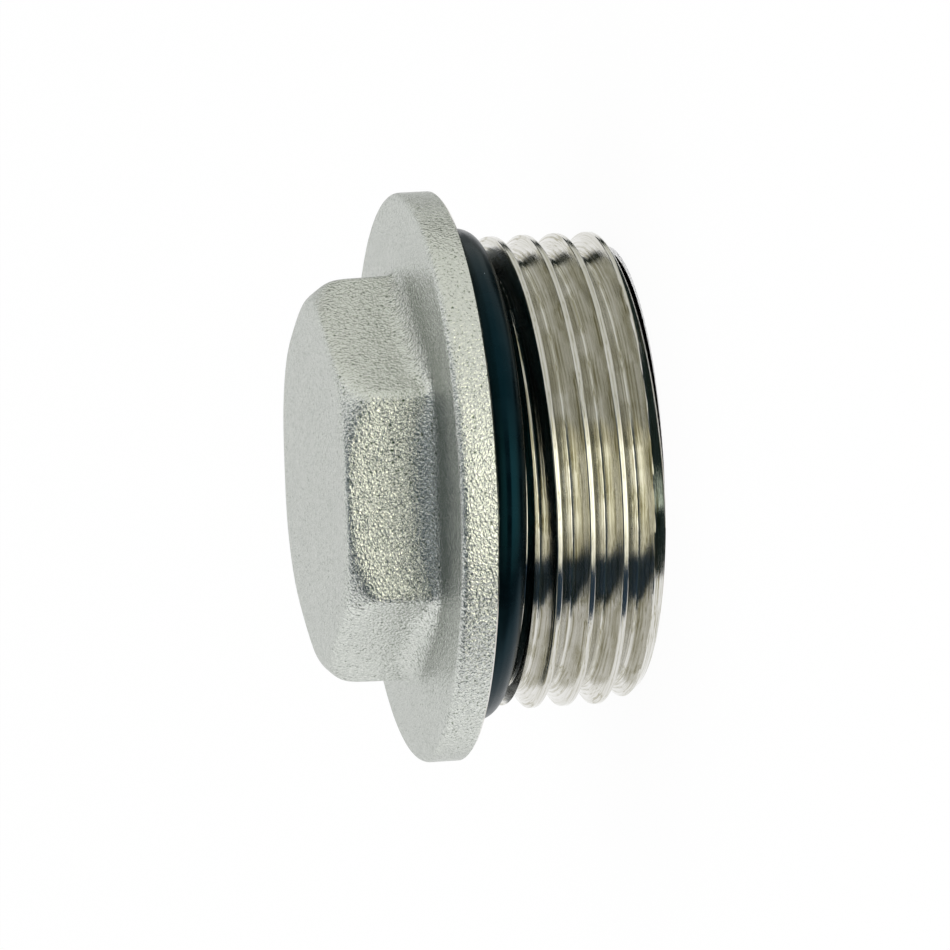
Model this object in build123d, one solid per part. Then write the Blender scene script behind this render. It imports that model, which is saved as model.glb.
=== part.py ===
"""Hexagon-head pipe plug with a flange, a sealing ring and a 1-inch parallel pipe thread.

Lengths are in millimetres and angles in degrees. The plug stands on its thread end: its axis is Z, the
thread's end face is at z = 0 and the hexagon head is on top, with two of its corners on the X axis.
"""

import os
from math import cos, radians, tan

from build123d import *

# Parallel pipe thread, right-handed. The 55 degree form sets its depth and crest width, for a pitch of 1
thread_major_diameter = 33.249
thread_pitch = 2.309
thread_flank_angle = 55.0
thread_depth_ratio = 0.640327
thread_crest_ratio = 0.166667
thread_phase_height = 0.17
cutter_overshoot = 0.15

# Threaded shank, from its end face to the flange's sealing face, with a lead-in chamfer at the end
shank_length = 12.5
lead_in_length = 1.1
lead_in_depth = 0.92

# Groove for the sealing ring, behind the flange: a cone leads from the thread's root down to its floor
groove_width = 3.4
groove_relief = 0.346
groove_slope_length = 0.4

# Sealing ring of rubber. Its round section is drawn with many narrow flats
ring_section_diameter = 2.5
ring_section_sides = 12
ring_seat_clearance = 0.02
ring_face_clearance = 0.23

# Flange
flange_diameter = 40.0
flange_thickness = 2.6
flange_edge_chamfer = 0.5

# Hexagon head, as forged: draft on its sides, rounded corners, and a cone that trims the corners at the front
hexagon_across_flats = 25.0
hexagon_height = 6.6
hexagon_draft = 1.0
hexagon_corner_radius = 1.0
crown_inset = 1.55
crown_angle = 45.0
head_root_radius = 0.8

# Tapered hollow behind the thread
shank_wall = 2.7
recess_depth = 13.6
recess_draft = 2.5
recess_floor_chamfer = 1.5
recess_mouth_chamfer = 0.4

# Sizes that follow from the values above
half_flank = radians(thread_flank_angle / 2)
thread_radius = thread_major_diameter / 2
thread_minor_radius = thread_radius - thread_depth_ratio * thread_pitch
groove_radius = thread_minor_radius - groove_relief
groove_start = shank_length - groove_width
flange_radius = flange_diameter / 2
flange_front = shank_length + flange_thickness
hexagon_corner_cut = hexagon_corner_radius * (1 / cos(radians(30)) - 1)
hexagon_point_radius = hexagon_across_flats / 2 / cos(radians(30)) - hexagon_corner_cut
recess_mouth_radius = thread_minor_radius - shank_wall
recess_floor_radius = recess_mouth_radius - recess_depth * tan(radians(recess_draft))


def circles(shape, radius, height):
    """Circular edges of a shape about the Z axis, with the given radius, at the given height."""
    rounds = shape.edges().filter_by(GeomType.CIRCLE).filter_by_position(Axis.Z, height, height)
    return ShapeList(edge for edge in rounds if abs(edge.radius - radius) < 1e-4)


def turned(*corners):
    """Solid of revolution about Z, from the corners of its half-section, each a radius and a height."""
    return revolve(Plane.XZ * make_face(Polyline(*corners, close=True)), axis=Axis.Z)


def thread_cutter():
    """Helical groove of the thread: a flat-bottomed V, carried up a helix from below the end face."""
    crest_half_width = thread_crest_ratio * thread_pitch / 2
    mouth_radius = thread_radius + cutter_overshoot
    mouth_half_width = thread_pitch / 2 - crest_half_width + cutter_overshoot * tan(half_flank)
    root_half_width = mouth_half_width - (mouth_radius - thread_minor_radius) * tan(half_flank)
    groove = Polyline(
        (thread_minor_radius, -root_half_width),
        (mouth_radius, -mouth_half_width),
        (mouth_radius, mouth_half_width),
        (thread_minor_radius, root_half_width),
        close=True,
    )
    start = thread_phase_height - thread_pitch
    end = groove_start + groove_width / 2
    path = Helix(thread_pitch, end - start, thread_minor_radius, center=(0, 0, start))
    return sweep(Pos(0, 0, start) * Plane.XZ * make_face(groove), path=path, is_frenet=True)


def threaded_shank():
    """Bar with the thread cut into it, then turned down for the lead-in and for the sealing ring's groove."""
    lead_in_start = thread_radius - lead_in_depth
    lead_in_reach = (flange_radius - lead_in_start) * lead_in_length / lead_in_depth
    lead_in = turned((lead_in_start, 0), (flange_radius, 0), (flange_radius, lead_in_reach))
    groove = turned(
        (groove_radius, groove_start + groove_slope_length),
        (thread_minor_radius, groove_start),
        (flange_radius, groove_start),
        (flange_radius, shank_length),
        (groove_radius, shank_length),
    )
    bar = extrude(Circle(thread_radius), shank_length)
    return bar - thread_cutter() - lead_in - groove


def hexagon_head():
    """Drafted hexagon with rounded corners, whose front is trimmed by a cone."""
    outline = RegularPolygon(hexagon_across_flats / 2, 6, major_radius=False)
    outline = fillet(outline.vertices(), hexagon_corner_radius)
    prism = extrude(outline, hexagon_height, taper=hexagon_draft)
    crown_radius = hexagon_point_radius - crown_inset
    crown_base_radius = crown_radius + hexagon_height / tan(radians(crown_angle))
    crown = turned((0, 0), (crown_base_radius, 0), (crown_radius, hexagon_height), (0, hexagon_height))
    return Pos(0, 0, flange_front) * (prism & crown)


def recess():
    """Hollow of the forging: a tapered bore with a broken edge at its mouth and round its floor."""
    return turned(
        (0, 0),
        (recess_mouth_radius + recess_mouth_chamfer, 0),
        (recess_mouth_radius, recess_mouth_chamfer),
        (recess_floor_radius, recess_depth - recess_floor_chamfer),
        (recess_floor_radius - recess_floor_chamfer, recess_depth),
        (0, recess_depth),
    )


def plug_body():
    """The whole metal piece: flange and head blended together, joined to the shank and hollowed."""
    flange = Pos(0, 0, shank_length) * extrude(Circle(flange_radius), flange_thickness)
    forging = flange + hexagon_head()
    front_edges = forging.edges().filter_by_position(Axis.Z, flange_front, flange_front)
    head_root = front_edges - circles(forging, flange_radius, flange_front)
    forging = fillet(head_root, head_root_radius)
    forging = chamfer(circles(forging, flange_radius, flange_front), flange_edge_chamfer)
    return forging + threaded_shank() - recess()


def o_ring():
    """Sealing ring, seated on the groove's floor close to the flange."""
    section_radius = ring_section_diameter / 2
    centre_radius = groove_radius + ring_seat_clearance + section_radius
    centre_height = shank_length - ring_face_clearance - section_radius
    section = Pos(centre_radius, centre_height) * RegularPolygon(section_radius, ring_section_sides)
    return revolve(Plane.XZ * section, axis=Axis.Z)


os.makedirs("parts", exist_ok=True)
export_step(plug_body(), "parts/plug_body.step")
export_step(o_ring(), "parts/o_ring.step")
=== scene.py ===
# %% [markdown]
# # A hexagon-head pipe plug
# This lesson dresses a packed pipe plug: a forged and nickel-plated brass plug with a hexagon head,
# a flange, a black sealing ring and a 1-inch pipe thread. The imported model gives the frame: the
# plug stands on its thread end, its axis is Z and two corners of its hexagon lie on X. Every new
# surface below is worked out with numpy in millimetres, as a function of two parameters on a grid,
# and is then scaled to metres.

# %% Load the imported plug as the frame
import math

import bmesh
import bpy
import numpy as np
from mathutils import Matrix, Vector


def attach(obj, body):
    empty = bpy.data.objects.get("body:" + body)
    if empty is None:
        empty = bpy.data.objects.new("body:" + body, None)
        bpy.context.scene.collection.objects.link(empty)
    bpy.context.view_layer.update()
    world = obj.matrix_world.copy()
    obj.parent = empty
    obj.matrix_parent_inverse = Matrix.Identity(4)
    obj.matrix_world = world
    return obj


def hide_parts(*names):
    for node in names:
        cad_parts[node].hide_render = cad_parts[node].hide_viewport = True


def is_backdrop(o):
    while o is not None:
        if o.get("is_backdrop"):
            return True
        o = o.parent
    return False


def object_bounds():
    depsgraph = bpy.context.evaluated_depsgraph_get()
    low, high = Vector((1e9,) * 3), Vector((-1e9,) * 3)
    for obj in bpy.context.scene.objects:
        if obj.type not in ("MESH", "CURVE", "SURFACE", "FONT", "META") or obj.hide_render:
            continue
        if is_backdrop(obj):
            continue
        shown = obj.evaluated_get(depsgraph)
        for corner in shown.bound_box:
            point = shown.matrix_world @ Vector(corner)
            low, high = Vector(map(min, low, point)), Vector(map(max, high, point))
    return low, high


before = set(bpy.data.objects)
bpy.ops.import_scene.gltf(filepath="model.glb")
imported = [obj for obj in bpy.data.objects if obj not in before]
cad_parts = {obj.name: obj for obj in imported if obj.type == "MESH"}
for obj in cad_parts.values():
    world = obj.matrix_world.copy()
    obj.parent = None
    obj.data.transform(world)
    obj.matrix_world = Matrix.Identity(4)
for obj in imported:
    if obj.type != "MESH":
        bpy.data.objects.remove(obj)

cad_low, cad_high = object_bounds()
cad_size = [round(1000 * (b - a), 2) for a, b in zip(cad_low, cad_high)]
print("nodes", sorted(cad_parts), "box in mm", cad_size)

# %% [markdown]
# ## The angles round the axis
# Nearly all of the plug is turned, so one list of angles serves every surface. Flats need few
# angles and the six rounded corners of the hexagon need many. A plain even list would waste faces
# on the flats, so the list is crowded towards the corners with one sine wave.

# %% Angles crowded towards the six corners
COLUMNS = 360
CORNER_CROWDING = 0.72

even = np.linspace(0.0, 2 * np.pi, COLUMNS + 1)
theta = even - CORNER_CROWDING / 6 * np.sin(6 * even)
steps = np.degrees(np.diff(theta))
print("angles", theta.size, "closest", steps.min().round(3), "widest", steps.max().round(3))


def smooth_min(a, b, width):
    """The lesser of two numbers, with a parabola that joins them where they differ by less than
    width."""
    return np.minimum(a, b) - np.maximum(width - np.abs(a - b), 0) ** 2 / (4 * width)


def ring_rows(radii, heights):
    """Rows of plain circles: each radius and height is the same at every angle."""
    radii, heights = np.broadcast_arrays(np.asarray(radii, float), np.asarray(heights, float))
    return radii[:, None] + 0 * theta, heights[:, None] + 0 * theta


# %% [markdown]
# ## The hexagon head
# The head is hot-forged, so its sides lean in a little, its corners and edges are soft, and a cone
# trims the corners at the front. Bevel tools would give each edge one width. Here a ray leaves the
# middle of the head's base, and the face, the cone and the side each stop it somewhere: a power
# mean of the three gives edges that melt into each other, as forged ones do.

# %% Rows of the head, from the middle of its face down its sides
FLANGE_FRONT = 15.1
HEX_APOTHEM = 12.5
HEX_CORNER_RADIUS = 1.0
HEX_HEIGHT = 6.6
HEX_DRAFT = math.radians(1.0)
HALF_SIDE = np.pi / 6
CROWN_RADIUS = 12.73
EDGE_POWER = 48.0
HEAD_TILTS = np.concatenate([np.linspace(0, 54, 7), np.linspace(57, 76, 39), [78, 80]])


def hexagon_radius(angle):
    """Distance from the axis to a rounded hexagon: apothem over cosine on a flat, and the far side
    of the corner's circle, by the cosine rule, past the flat's end."""
    off_corner = np.abs((angle + HALF_SIDE) % (2 * HALF_SIDE) - HALF_SIDE)
    off_flat = HALF_SIDE - off_corner
    inner = HEX_APOTHEM - HEX_CORNER_RADIUS
    flat = HEX_APOTHEM / np.cos(off_flat)
    to_centre = inner / np.cos(HALF_SIDE)
    under_root = np.maximum(HEX_CORNER_RADIUS ** 2 - (to_centre * np.sin(off_corner)) ** 2, 0)
    corner = to_centre * np.cos(off_corner) + np.sqrt(under_root)
    return np.where(HEX_APOTHEM * np.tan(off_flat) <= inner * np.tan(HALF_SIDE), flat, corner)


def head_rows():
    """Head as a ray length: one over the power sum of cos/height, (sin + cos)/cone and
    (sin + draft cos)/side, for a ray that tilts from the axis down to the side."""
    tilt = np.radians(HEAD_TILTS)[:, None]
    side = hexagon_radius(theta)[None, :]
    to_face = np.cos(tilt) / HEX_HEIGHT
    to_cone = (np.sin(tilt) + np.cos(tilt)) / (CROWN_RADIUS + HEX_HEIGHT)
    to_side = (np.sin(tilt) + math.tan(HEX_DRAFT) * np.cos(tilt)) / side
    power_sum = to_face ** EDGE_POWER + to_cone ** EDGE_POWER + to_side ** EDGE_POWER
    reach = power_sum ** (-1 / EDGE_POWER)
    return reach * np.sin(tilt), FLANGE_FRONT + reach * np.cos(tilt)


head = head_rows()
print("head rows", head[0].shape[0], "across corners", round(2 * head[0].max(), 2), "mm, top",
      round(head[1].max(), 2))

# %% [markdown]
# ## The flange and the root of the head
# The forged front of the flange falls away from the head as a very flat cone, which helps it out of
# the die, and its edge is round. Its back was faced on the lathe and has a crisp edge. The head
# stands in a fillet that is full along the flats and smaller at the corners. A bevel has one
# radius, so this fillet is an arc whose radius is a function of the angle.

# %% Rows of the head's root
FLANGE_RADIUS = 20.0
FLANGE_EDGE_RADIUS = 0.5
FLANGE_SLOPE = math.radians(2.9)
ROOT_FILLET = 1.85
CORNER_FILLET = 0.8
CORNER_POWER = 12


def root_fillet(angle):
    """Radius of the fillet at the head's root: full along the flats, and less at the corners by a
    power of a cosine."""
    return ROOT_FILLET - (ROOT_FILLET - CORNER_FILLET) * np.cos(3 * angle) ** CORNER_POWER


def flange_height(radius):
    """Height of the flange's front: a flat cone that falls from the head to the rounded edge."""
    return FLANGE_FRONT + math.tan(FLANGE_SLOPE) * (FLANGE_RADIUS - FLANGE_EDGE_RADIUS - radius)


def head_root_rows():
    """Arc from the head's side to where it touches the flange's cone, carried round the hexagon."""
    turn = np.linspace(0, np.pi / 2 - FLANGE_SLOPE, 9)[:, None]
    fillet = root_fillet(theta)[None, :]
    side = hexagon_radius(theta)[None, :] - fillet * math.tan(HEX_DRAFT)
    touch = side + fillet * (1 - math.sin(FLANGE_SLOPE))
    centre = flange_height(touch) + fillet * math.cos(FLANGE_SLOPE)
    return side + fillet * (1 - np.cos(turn)), centre - fillet * np.sin(turn)


head_root = head_root_rows()
print("root rows", head_root[0].shape[0], "heights", head_root[1].min().round(2), "to",
      head_root[1].max().round(2), "mm")

# %% Rows of the flange, from the head's root out and back to the groove
FLANGE_BACK = 12.5
FLANGE_BACK_BREAK = 0.12
RIM_ROWS_TOP = 14.2
GROOVE_RADIUS = 14.8


def flange_rows():
    """Front cone, quarter circle at the front edge, rim, broken back edge and the faced back."""
    start = head_root[0][-1:]
    share = np.linspace(0.15, 0.95, 5)[:, None]
    front_r = start + share * (FLANGE_RADIUS - FLANGE_EDGE_RADIUS - start)
    turn = np.linspace(0, np.pi / 2, 9)
    edge = ring_rows(FLANGE_RADIUS - FLANGE_EDGE_RADIUS * (1 - np.sin(turn)),
                     FLANGE_FRONT - FLANGE_EDGE_RADIUS * (1 - np.cos(turn)))
    rim = ring_rows(FLANGE_RADIUS, np.linspace(RIM_ROWS_TOP, FLANGE_BACK + FLANGE_BACK_BREAK, 3))
    back_r = np.linspace(FLANGE_RADIUS - FLANGE_BACK_BREAK, GROOVE_RADIUS, 5)
    return (front_r, flange_height(front_r)), edge, rim, ring_rows(back_r, FLANGE_BACK)


*flange_outside, flange_back = flange_rows()
print("flange rows", sum(part[0].shape[0] for part in (*flange_outside, flange_back)))

# %% [markdown]
# ## The thread
# A parallel pipe thread is one ridge wound up a cylinder: 55 degree flanks, a narrow crest and a
# rounded root. Rows of level circles would cross the ridge at a slant and make its edges ripple.
# These rows climb with the helix instead, so each crest edge is one clean line, and the rows that
# climb out of the threaded length are pressed flat on its ends.

# %% Rows of the thread, climbing with the helix
THREAD_RADIUS = 16.6245
THREAD_PITCH = 2.309
THREAD_DEPTH = 0.640327 * THREAD_PITCH
THREAD_CREST = THREAD_PITCH / 6
HALF_FLANK = math.radians(27.5)
CREST_HEIGHT = 8.249
CREST_BREAK = 0.10
ROOT_ROUND = 0.42
LEAD_IN_LENGTH = 1.1
LEAD_IN_DEPTH = 0.92
LEAD_IN_BREAK = 0.05
LEAD_ROWS_TOP = 1.35
GROOVE_START = 9.1
FIRST_TURN, LAST_TURN = -5, 1
HALF_TURN = [0.0, 0.045, 0.066, 0.083, 0.10, 0.12, 0.17, 0.24, 0.31, 0.36, 0.40, 0.44, 0.47]


def thread_radius(angle, height):
    """Radius of the thread: the flank's straight line down from the crest, cut off softly by the
    crest and the root, then trimmed by the lead-in cone. Along the axis it depends only on the
    distance to the nearest crest."""
    turns = (height - CREST_HEIGHT) / THREAD_PITCH - angle / (2 * np.pi)
    from_crest = THREAD_PITCH * np.abs(turns - np.round(turns))
    flank = THREAD_RADIUS - (from_crest - THREAD_CREST / 2) / math.tan(HALF_FLANK)
    ridge = smooth_min(flank, THREAD_RADIUS, CREST_BREAK)
    ridge = -smooth_min(-ridge, THREAD_DEPTH - THREAD_RADIUS, ROOT_ROUND)
    cone = THREAD_RADIUS - LEAD_IN_DEPTH + height * LEAD_IN_DEPTH / LEAD_IN_LENGTH
    return smooth_min(ridge, cone, LEAD_IN_BREAK)


def thread_rows():
    """Helical rows: height is pitch times (phase plus angle over a full turn), kept between the
    lead-in and the groove. The phases are crowded where the crest and the root bend."""
    half = np.array(HALF_TURN)
    one_turn = np.concatenate([[-0.5], -half[:0:-1], half])
    phase = (np.arange(FIRST_TURN, LAST_TURN + 1)[:, None] + one_turn).ravel()[::-1]
    height = CREST_HEIGHT + THREAD_PITCH * (phase[:, None] + theta / (2 * np.pi))
    inside = (height.max(1) > LEAD_ROWS_TOP) & (height.min(1) < GROOVE_START)
    first, last = np.flatnonzero(inside)[[0, -1]]
    height = np.clip(height[first - 1:last + 2], LEAD_ROWS_TOP, GROOVE_START)
    return thread_radius(theta[None, :], height), height


thread = thread_rows()
print("thread rows", thread[0].shape[0], "radius", thread[0].min().round(3), "to",
      thread[0].max().round(3), "mm")

# %% [markdown]
# ## The groove, the end and the hollow
# The lathe also cut the groove for the ring, with a short cone that leads up to the thread, and
# faced the thread's end. The hollow behind it came from the die's core, so its wall is drafted and
# its floor has a round corner. All are circles apart from the lead-in, where the ridge runs out.

# %% Rows of the groove, the end and the hollow
GROOVE_SLOPE = 0.4
GROOVE_ROWS_TOP = 12.3
END_FACE_RADIUS = 15.55
RECESS_MOUTH = 12.446
RECESS_FLOOR = 11.852
RECESS_DEPTH = 13.6
RECESS_CORNER = 1.8
RECESS_ROWS_START = 8.0
MOUTH_BREAK = 0.4


def groove_rows():
    """Floor of the ring's groove, and the cone that climbs from it to the root of the thread."""
    slope_foot = GROOVE_START + GROOVE_SLOPE
    floor = ring_rows(GROOVE_RADIUS, np.linspace(GROOVE_ROWS_TOP, slope_foot, 4))
    slope = ring_rows(np.linspace(GROOVE_RADIUS, THREAD_RADIUS - THREAD_DEPTH, 4)[1:],
                      np.linspace(slope_foot, GROOVE_START, 4)[1:])
    return [floor, slope]


def end_rows():
    """Level rows over the lead-in, the end face, and the hollow: broken mouth, drafted wall, round
    corner and floor."""
    lead_z = np.linspace(LEAD_ROWS_TOP, 0.0, 22)[:, None] + 0 * theta
    lead = thread_radius(theta[None, :], lead_z), lead_z
    face = ring_rows(np.linspace(END_FACE_RADIUS, RECESS_MOUTH + MOUTH_BREAK, 4), 0.0)
    wall_top = RECESS_DEPTH - RECESS_CORNER
    wall = ring_rows(np.linspace(RECESS_MOUTH, RECESS_FLOOR, 6),
                     np.linspace(MOUTH_BREAK, wall_top, 6))
    turn = np.linspace(np.pi / 14, np.pi / 2, 7)
    corner = ring_rows(RECESS_FLOOR - RECESS_CORNER * (1 - np.cos(turn)),
                       wall_top + RECESS_CORNER * np.sin(turn))
    floor = ring_rows(np.linspace(RECESS_ROWS_START, 0.0, 4), RECESS_DEPTH)
    return [lead, face, wall, corner, floor]


turned = groove_rows() + [thread] + end_rows()
print("turned rows", sum(part[0].shape[0] for part in turned), "hollow", RECESS_DEPTH, "mm deep")

# %% [markdown]
# ## The whole body as one skin
# The real plug is one piece, so its skin is one closed mesh. The rows of all parts are stacked into
# one grid, from the middle of the head's face to the middle of the hollow's floor. A weld then
# closes the seam, the two poles and the pressed rows of the thread.

# %% Stack the rows and weld them into one body
WELD_DISTANCE = 1e-7
SHARP_ANGLE = math.radians(34)
BLASTED, MACHINED = 0, 1


def skin_faces(rows, columns):
    """Quads between each row and the next, wound so that their normals point out of the metal."""
    corner = np.arange(rows * columns).reshape(rows, columns)
    quads = [corner[:-1, :-1], corner[1:, :-1], corner[1:, 1:], corner[:-1, 1:]]
    return np.stack(quads, -1).reshape(-1, 4)


def welded_mesh(name, points_mm, finishes):
    """Mesh in metres from a grid of points, with a finish number per quad, welded and shaded
    smooth. An edge is open unless exactly two faces use it."""
    mesh = bpy.data.meshes.new(name)
    faces = skin_faces(*points_mm.shape[:2])
    mesh.from_pydata(points_mm.reshape(-1, 3) / 1000, [], faces.tolist())
    mesh.polygons.foreach_set("material_index", finishes.astype(np.int32))
    welder = bmesh.new()
    welder.from_mesh(mesh)
    bmesh.ops.remove_doubles(welder, verts=welder.verts, dist=WELD_DISTANCE)
    welder.to_mesh(mesh)
    welder.free()
    mesh.shade_smooth()
    mesh.set_sharp_from_angle(angle=SHARP_ANGLE)
    edges = np.zeros(len(mesh.loops), np.int32)
    mesh.loops.foreach_get("edge_index", edges)
    open_edges = np.count_nonzero(np.bincount(edges, minlength=len(mesh.edges)) != 2)
    print(name, "vertices", len(mesh.vertices), "faces", len(mesh.polygons), "open edges",
          open_edges)
    return mesh


def new_object(name, data):
    """Object with the given data, linked to the scene."""
    made = bpy.data.objects.new(name, data)
    bpy.context.scene.collection.objects.link(made)
    return made


parts = [(part, BLASTED) for part in (head, head_root, *flange_outside)]
parts += [(part, MACHINED) for part in (flange_back, *turned)]
body_r = np.concatenate([part[0] + 0 * theta for part, finish in parts])
body_z = np.concatenate([part[1] + 0 * theta for part, finish in parts])
row_finish = np.concatenate([np.full(part[0].shape[0], finish) for part, finish in parts])
body_points = np.stack([body_r * np.cos(theta), body_r * np.sin(theta), body_z], -1)
body_mesh = welded_mesh("plug_skin", body_points, np.repeat(row_finish[1:], COLUMNS))
body = new_object("plug_skin", body_mesh)

# %% [markdown]
# ## The sealing ring
# The ring is a moulded rubber ring of round section that sits in the groove, close to the flange
# and leaning a little. A torus is two circles, one carried round the other, with a faint moulding
# line left standing on its outside and inside, where the two halves of the mould met.

# %% A torus with a faint moulding line
RING_SECTION = 1.25
RING_CENTRE = 16.07
RING_HEIGHT = 11.02
RING_LINE = 0.02
RING_LINE_WIDTH = 0.12
RING_LEAN = 0.0125
RING_LEAN_WAY = math.radians(6.5)
RING_AROUND, RING_ROUND = 256, 72


def ring_points(around, section):
    """Torus: a small circle whose centre runs round the axis. The small radius dips a little beside
    the moulding line, which stays at the full radius where the section faces straight out or in.
    Height falls a little to one side."""
    turn = np.linspace(0, 2 * np.pi, around + 1)[None, :]
    roll = np.linspace(0, -2 * np.pi, section + 1)[:, None]
    dip = np.clip(np.abs(np.sin(roll)) / RING_LINE_WIDTH, 0, 1) ** 2
    radius = RING_SECTION - RING_LINE * dip
    out = RING_CENTRE + radius * np.cos(roll)
    height = RING_HEIGHT + radius * np.sin(roll) - RING_LEAN * out * np.cos(turn - RING_LEAN_WAY)
    return np.stack([out * np.cos(turn), out * np.sin(turn), height], -1)


ring_finish = np.zeros(RING_AROUND * RING_ROUND)
ring_mesh = welded_mesh("ring_skin", ring_points(RING_AROUND, RING_ROUND), ring_finish)
ring = new_object("ring_skin", ring_mesh)

# %% [markdown]
# ## Finishes as node graphs
# Each finish is worked out from the object's own coordinates, so it needs no picture and no
# unwrapping. Every helper here makes one node, wires it up and returns its result.

# %% Helpers that make shader nodes


def new_finish(name):
    """Fresh node material with its node tree, its shader and the object's own coordinates."""
    finish = bpy.data.materials.new(name)
    finish.use_nodes = True
    tree = finish.node_tree
    place = tree.nodes.new("ShaderNodeTexCoord").outputs["Object"]
    return finish, tree, tree.nodes["Principled BSDF"].inputs, place


def noise_on(tree, vector, scale, detail, rough, distortion=0.0):
    """Noise texture read at a vector, as its factor. The scale is in bumps per metre."""
    noise = tree.nodes.new("ShaderNodeTexNoise")
    noise.inputs["Scale"].default_value = scale
    noise.inputs["Detail"].default_value = detail
    noise.inputs["Roughness"].default_value = rough
    noise.inputs["Distortion"].default_value = distortion
    tree.links.new(vector, noise.inputs["Vector"])
    return noise.outputs["Fac"]


def ramp_on(tree, factor, stops):
    """Colour ramp through stops of (place, colour)."""
    ramp = tree.nodes.new("ShaderNodeValToRGB")
    elements = ramp.color_ramp.elements
    for element, (place, colour) in zip(elements, (stops[0], stops[-1])):
        element.position, element.color = place, (*colour, 1)
    for place, colour in stops[1:-1]:
        elements.new(place).color = (*colour, 1)
    tree.links.new(factor, ramp.inputs["Fac"])
    return ramp.outputs["Color"]


def range_on(tree, factor, low, high, to_low, to_high):
    """Factor moved from one range to another."""
    move = tree.nodes.new("ShaderNodeMapRange")
    limits = {"From Min": low, "From Max": high, "To Min": to_low, "To Max": to_high}
    for socket, value in limits.items():
        move.inputs[socket].default_value = value
    tree.links.new(factor, move.inputs["Value"])
    return move.outputs["Result"]


def bump_on(tree, height, strength, distance):
    """Normal from a height, with the distance in metres."""
    bump = tree.nodes.new("ShaderNodeBump")
    bump.inputs["Strength"].default_value = strength
    bump.inputs["Distance"].default_value = distance
    tree.links.new(height, bump.inputs["Height"])
    return bump.outputs["Normal"]


def math_on(tree, operation, *inputs):
    """One sum: each input is a socket or a plain number."""
    step = tree.nodes.new("ShaderNodeMath")
    step.operation = operation
    for socket, value in zip(step.inputs, inputs):
        if isinstance(value, float):
            socket.default_value = value
        else:
            tree.links.new(value, socket)
    return step.outputs["Value"]


helpers = (noise_on, ramp_on, range_on, bump_on, math_on)
print("helpers", [helper.__name__ for helper in helpers])

# %% [markdown]
# ## Blasted nickel
# The head, the flange's front and its rim keep the skin of the forging, shot-blasted and then
# plated: a pale grey metal covered with tiny dents that sparkle where they face the light. The
# dents are far smaller than the mesh, so they are bump. One noise gives both the dents and a
# painted shade, a dark colour on the floors of the deepest ones, and a second, much slower one
# varies the gloss.

# %% The blasted finish
# The lowest stop is painted shade: a dark green base colour on the floors of the deepest dents.
BLASTED_TONE_AND_DENT_SHADE = [(0.27, (0.12, 0.18, 0.09)), (0.36, (0.73, 0.755, 0.705)),
                (0.75, (0.84, 0.86, 0.82))]

blasted, tree, shader, place = new_finish("blasted_nickel")
shader["Metallic"].default_value = 0.98
shader["Specular Tint"].default_value = (0.62, 0.63, 0.62, 1)
dents = noise_on(tree, place, 5000, 2.0, 0.55, 0.3)
cloud = noise_on(tree, place, 260, 3.0, 0.5)
tree.links.new(ramp_on(tree, dents, BLASTED_TONE_AND_DENT_SHADE), shader["Base Color"])
tree.links.new(range_on(tree, cloud, 0.3, 0.7, 0.10, 0.17), shader["Roughness"])
tree.links.new(bump_on(tree, dents, 1.0, 0.00014), shader["Normal"])
print("finish", blasted.name, "nodes", len(tree.nodes))

# %% [markdown]
# ## Machined nickel
# The thread, the groove, the end and the flange's back were turned after forging, so they are
# bright, with fine tool lines. The lines follow the thread: they depend only on the distance from
# the axis and on the height within one turn of the helix. The shader works out both from the
# object's coordinates and reads its noise there, with a slow drift so that no line runs all the
# way round. The lines also blur reflections across them, which is the shader's anisotropy.

# %% The machined finish
PITCH_M = THREAD_PITCH / 1000
LINE_DRIFT = 0.0012
MACHINED_STREAKS = [(0.38, (0.31, 0.29, 0.19)), (0.48, (0.62, 0.61, 0.555)),
                    (0.62, (0.72, 0.71, 0.68))]

machined, tree, shader, place = new_finish("machined_nickel")
shader["Metallic"].default_value = 1.0
shader["Anisotropic"].default_value = 0.55
shader["Anisotropic Rotation"].default_value = 0.25
tangent = tree.nodes.new("ShaderNodeTangent")
tangent.direction_type, tangent.axis = "RADIAL", "Z"
tree.links.new(tangent.outputs["Tangent"], shader["Tangent"])

split = tree.nodes.new("ShaderNodeSeparateXYZ")
tree.links.new(place, split.inputs["Vector"])
x, y, z = (split.outputs[axis] for axis in "XYZ")
climb = math_on(tree, "MULTIPLY_ADD", math_on(tree, "ARCTAN2", y, x), -PITCH_M / (2 * math.pi), z)
in_turn = math_on(tree, "FLOORED_MODULO", climb, PITCH_M)
square = math_on(tree, "MULTIPLY_ADD", y, y, math_on(tree, "MULTIPLY", x, x))
from_axis = math_on(tree, "SQRT", square)
drift = math_on(tree, "MULTIPLY", noise_on(tree, place, 130, 2.0, 0.5), LINE_DRIFT)
profile = tree.nodes.new("ShaderNodeCombineXYZ")
for axis, value in zip("XYZ", (from_axis, in_turn, drift)):
    tree.links.new(value, profile.inputs[axis])

lines = noise_on(tree, profile.outputs["Vector"], 4600, 4.0, 0.7)
bands = noise_on(tree, profile.outputs["Vector"], 2100, 2.0, 0.5)
tree.links.new(ramp_on(tree, lines, MACHINED_STREAKS), shader["Base Color"])
tree.links.new(range_on(tree, bands, 0.3, 0.7, 0.08, 0.17), shader["Roughness"])
tree.links.new(bump_on(tree, lines, 0.6, 0.00003), shader["Normal"])
print("finish", machined.name, "nodes", len(tree.nodes))

# %% [markdown]
# ## Black rubber
# The ring is smooth moulded nitrile rubber: nearly black, half glossy, with a dry bloom in patches
# and a few specks of dust. The specks are the centres of a cell texture, kept in the cells whose
# random colour is high. Its faint reflections are blue-green in the picture, so they are tinted.

# %% The rubber finish
RUBBER_BLACK = [(0.35, (0.001, 0.003, 0.004)), (0.7, (0.003, 0.008, 0.010))]
SPECK_RADIUS, SPECK_LOT = 0.05, 0.72

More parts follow.
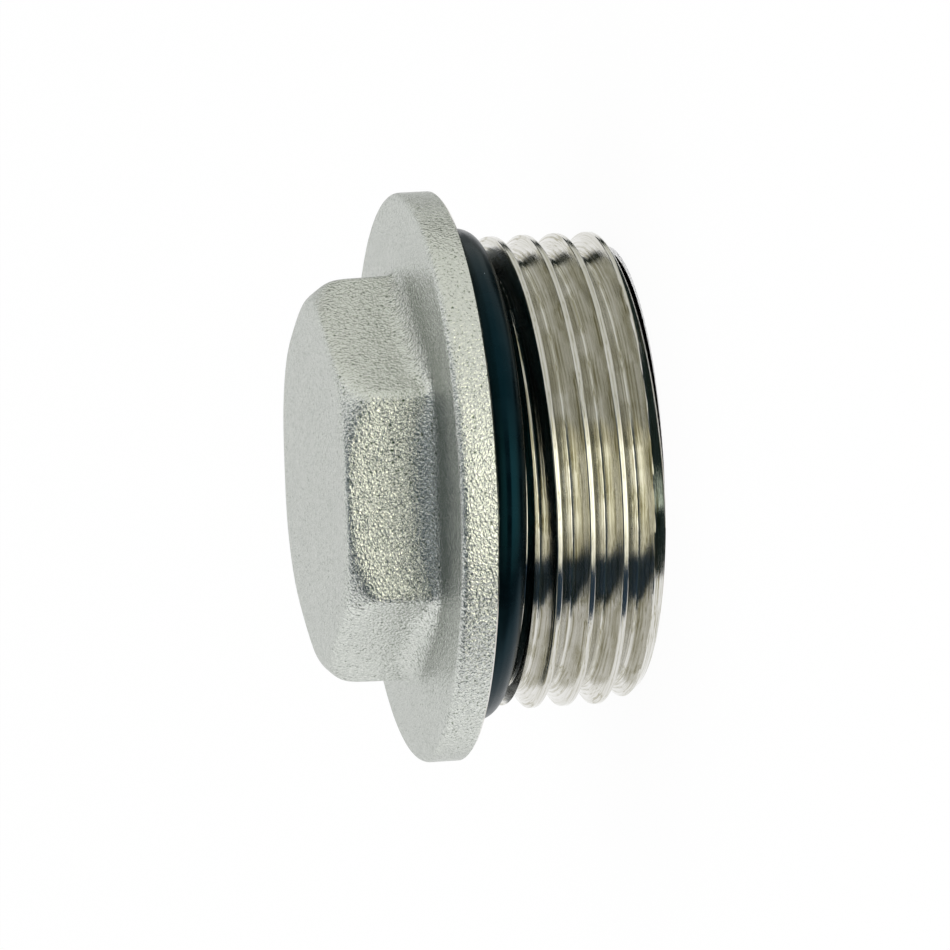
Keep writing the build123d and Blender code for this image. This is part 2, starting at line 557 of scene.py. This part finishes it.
rubber, tree, shader, place = new_finish("black_rubber")
shader["Specular IOR Level"].default_value = 0.26
shader["Specular Tint"].default_value = (0.12, 0.70, 1.0, 1)
bloom = noise_on(tree, place, 450, 3.0, 0.55)
grain = noise_on(tree, place, 6000, 2.0, 0.5)
cells = tree.nodes.new("ShaderNodeTexVoronoi")
cells.inputs["Scale"].default_value = 600
tree.links.new(place, cells.inputs["Vector"])
lot = tree.nodes.new("ShaderNodeSeparateXYZ")
tree.links.new(cells.outputs["Color"], lot.inputs["Vector"])
centre = math_on(tree, "LESS_THAN", cells.outputs["Distance"], SPECK_RADIUS)
chosen = math_on(tree, "GREATER_THAN", lot.outputs["X"], SPECK_LOT)
dusty = tree.nodes.new("ShaderNodeMix")
dusty.data_type = "RGBA"
dusty.inputs["B"].default_value = (0.35, 0.42, 0.46, 1)
tree.links.new(math_on(tree, "MULTIPLY", centre, chosen), dusty.inputs["Factor"])
tree.links.new(ramp_on(tree, bloom, RUBBER_BLACK), dusty.inputs["A"])
tree.links.new(dusty.outputs["Result"], shader["Base Color"])
tree.links.new(range_on(tree, bloom, 0.3, 0.7, 0.22, 0.34), shader["Roughness"])
tree.links.new(bump_on(tree, grain, 0.15, 0.00001), shader["Normal"])
print("finish", rubber.name, "nodes", len(tree.nodes))

# %% Put the finishes on, and seat the pieces on the frame
body_mesh.materials.append(blasted)
body_mesh.materials.append(machined)
ring_mesh.materials.append(rubber)
for piece, node, slot in ((body, "plug_body", "nickel"), (ring, "o_ring", "rubber")):
    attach(piece, "root")
    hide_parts(node)
    print(piece.name, "stands for", node)

# %% [markdown]
# ## The camera
# The plug lies on its side in the picture, head to the left. Here it stands, so the camera is
# rolled instead: the picture's up is a level direction in the frame, and its left is up along the
# axis. A long lens from half a metre keeps the perspective as slight as it is there.

# %% Camera from the picture's three directions
NEAR_WAY, UP_WAY = math.radians(-83.5), math.radians(6.5)
NEAR = np.array([math.cos(NEAR_WAY), math.sin(NEAR_WAY), 0.0])
UP = np.array([math.cos(UP_WAY), math.sin(UP_WAY), 0.0])
AXIS = np.array([0.0, 0.0, 1.0])
LIFT, LEAN = math.radians(10.863), math.radians(-3.151)
DISTANCE, MM_PER_PIXEL = 540.0, 0.0702
FRAME_PIXELS, FLANGE_PIXEL = 950, (442.27, 475.90)
SENSOR = 36.0


def pose_matrix(right, upward, back, position):
    """World matrix of a thing that looks along minus back, with its right and up as given."""
    pose = np.eye(4)
    pose[:3, :3] = np.stack([right, upward, back], 1)
    pose[:3, 3] = position
    return Matrix(pose)


to_camera = math.cos(LIFT) * NEAR + math.sin(LIFT) * AXIS
along = math.sin(LIFT) * NEAR - math.cos(LIFT) * AXIS
right = math.cos(LEAN) * along + math.sin(LEAN) * UP
upward = -math.sin(LEAN) * along + math.cos(LEAN) * UP
flange_centre = np.array([0.0, 0.0, FLANGE_BACK])
shift_right, shift_up = FRAME_PIXELS / 2 - FLANGE_PIXEL[0], FLANGE_PIXEL[1] - FRAME_PIXELS / 2
aim = flange_centre + MM_PER_PIXEL * (shift_right * right + shift_up * upward)
eye = flange_centre + DISTANCE * to_camera
back = (eye - aim) / np.linalg.norm(eye - aim)
right = np.cross(upward, back)
right /= np.linalg.norm(right)

camera = new_object("camera", bpy.data.cameras.new("camera"))
camera.matrix_world = pose_matrix(right, np.cross(back, right), back, eye / 1000)
camera.data.sensor_width = SENSOR
camera.data.lens = SENSOR * DISTANCE / (FRAME_PIXELS * MM_PER_PIXEL)
camera.data.clip_start, camera.data.clip_end = 0.01, 20.0
bpy.context.scene.camera = camera
print("lens", round(camera.data.lens, 1), "mm, eye", (eye / 1000).round(3).tolist())

# %% [markdown]
# ## The floor
# The picture's background is plain white. The floor is matt paper that lights the plug as paper
# does, but to the camera alone it nearly shines, so it stays white without more light on the metal.

# %% Sheets of the studio, and the floor
FLOOR_HALF = 3
FLOOR_GREY = 0.93
FLOOR_WHITE = 0.95


def stage_sheet(name, points, colour, shining=False):
    """Grid of points as a sheet of the studio: lit like paper, or shining with its colour."""
    mesh = bpy.data.meshes.new(name)
    mesh.from_pydata(points.reshape(-1, 3), [], skin_faces(*points.shape[:2]).tolist())
    paper = bpy.data.materials.new(name)
    paper.use_nodes = True
    shader = paper.node_tree.nodes["Principled BSDF"].inputs
    shader["Roughness"].default_value = 0.9
    shader["Specular IOR Level"].default_value = 0.0
    shader["Base Color"].default_value = (0, 0, 0, 1) if shining else (*colour, 1)
    if shining:
        shader["Emission Color"].default_value = (*colour, 1)
        shader["Emission Strength"].default_value = 1.0
    mesh.materials.append(paper)
    sheet = new_object(name, mesh)
    sheet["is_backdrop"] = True
    return sheet


reach = np.linspace(-FLOOR_HALF, FLOOR_HALF, 5)
floor_x, floor_y = np.meshgrid(reach, reach, indexing="ij")
floor_points = np.stack([floor_x, floor_y, 0 * floor_x], -1)[:, ::-1]
floor = stage_sheet("floor", floor_points, (FLOOR_GREY, FLOOR_GREY, FLOOR_GREY))
floor.visible_glossy = False
tree = floor.data.materials[0].node_tree
seen = tree.nodes.new("ShaderNodeLightPath").outputs["Is Camera Ray"]
white = tree.nodes.new("ShaderNodeEmission")
blend = tree.nodes.new("ShaderNodeMixShader")
tree.links.new(math_on(tree, "MULTIPLY", seen, FLOOR_WHITE), blend.inputs["Fac"])
tree.links.new(tree.nodes["Principled BSDF"].outputs["BSDF"], blend.inputs[1])
tree.links.new(white.outputs["Emission"], blend.inputs[2])
tree.links.new(blend.outputs["Shader"], tree.nodes["Material Output"].inputs["Surface"])
print("floor", 2 * FLOOR_HALF, "m wide")

# %% [markdown]
# ## The cards that the metal mirrors
# Bright metal shows its surroundings, so these are as much a part of its look as its finish. Warm
# bright cards stand behind the camera, grey ones above it and over the head, and dark ones where
# the picture's thread turns dark. Each is a patch of a sphere round the plug, seen only in
# reflections, and a nearer one hides a farther one. The white room shows between them.

# %% Cards, each with its swing, lift, colour and distance
CARD_CENTRE = np.array([0, 0, 0.01])
CARDS = [
    ("card_front", (-47, 23), (-60, -3), (1.25, 1.21, 1.00), 0.60),
    ("card_front_core", (-32, 12), (-44, -5), (2.02, 1.99, 1.70), 0.55),
    ("card_front_high", (-18, 40), (-3, 64), (0.13, 0.155, 0.17), 0.60),
    ("card_low_high", (-85, -18), (0, 64), (0.03, 0.045, 0.05), 0.60),
    ("card_low_dark", (-77, -47), (-70, 0), (0.030, 0.052, 0.082), 0.60),
    ("card_top_dark", (137, 148), (-70, 40), (0.010, 0.018, 0.016), 0.60),
    ("card_ceiling", (23, 137), (-60, 40), (0.74, 0.745, 0.70), 0.60),
    ("card_head_near", (-90, 90), (62, 90), (0.33, 0.36, 0.39), 0.62),
    ("card_head_far", (90, 270), (62, 90), (0.11, 0.125, 0.13), 0.62),
    ("card_end_side", (-180, 180), (-90, -61), (0.015, 0.024, 0.022), 0.62),
    ("card_end_top", (110, 160), (-68, -28), (0.015, 0.024, 0.022), 0.58),
    ("card_end_glint", (-130, -80), (-89, -79), (0.85, 0.98, 0.82), 0.57),
]


def card_points(swing, lift, distance):
    """Patch of a sphere in metres: swing is the angle from the camera's side towards the picture's
    up, and lift the angle above the floor, each as a pair of limits in degrees."""
    a = np.radians(np.linspace(*swing, 25))[:, None, None]
    b = np.radians(np.linspace(*lift, 17))[None, :, None]
    way = np.cos(b) * (np.cos(a) * NEAR + np.sin(a) * UP) + np.sin(b) * AXIS
    return distance * way + CARD_CENTRE


for name, swing, lift, colour, distance in CARDS:
    card = stage_sheet(name, card_points(swing, lift, distance), colour, shining=True)
    card.visible_camera = card.visible_diffuse = card.visible_shadow = False
print("cards", len(CARDS))

# %% [markdown]
# ## The room and the soft box
# A white room lights everything evenly. One warm soft box beside the camera adds shape to the
# rubber and the paper. The metal doesn't mirror it, since the cards already give its reflections.

# %% Room light, soft box and view transform
BOX_SWING = math.radians(-10)
BOX_DISTANCE, BOX_HEIGHT = 0.5, 0.05

world = bpy.data.worlds.new("white_room")
world.use_nodes = True
world.node_tree.nodes["Background"].inputs["Color"].default_value = (1, 1, 1, 1)
world.node_tree.nodes["Background"].inputs["Strength"].default_value = 1.0
bpy.context.scene.world = world

soft_box = new_object("soft_box", bpy.data.lights.new("soft_box", "AREA"))
soft_box.data.shape, soft_box.data.size, soft_box.data.size_y = "RECTANGLE", 0.5, 0.62
soft_box.data.color = (1.0, 0.96, 0.84)
soft_box.data.energy = 0.9
box_way = math.cos(BOX_SWING) * NEAR + math.sin(BOX_SWING) * UP
box_place = BOX_DISTANCE * box_way + BOX_HEIGHT * AXIS
soft_box.matrix_world = pose_matrix(np.cross(AXIS, box_way), AXIS, box_way, box_place)
soft_box.visible_camera = soft_box.visible_glossy = False

bpy.context.scene.view_settings.view_transform = "Standard"
sheets = [o for o in bpy.context.scene.objects if o.type == "MESH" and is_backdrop(o)]
print("studio sheets", len(sheets))

# %% Print the imported plug's box, and finish
print("packed box", [round(1000 * v, 2) for v in (*cad_low, *cad_high)])
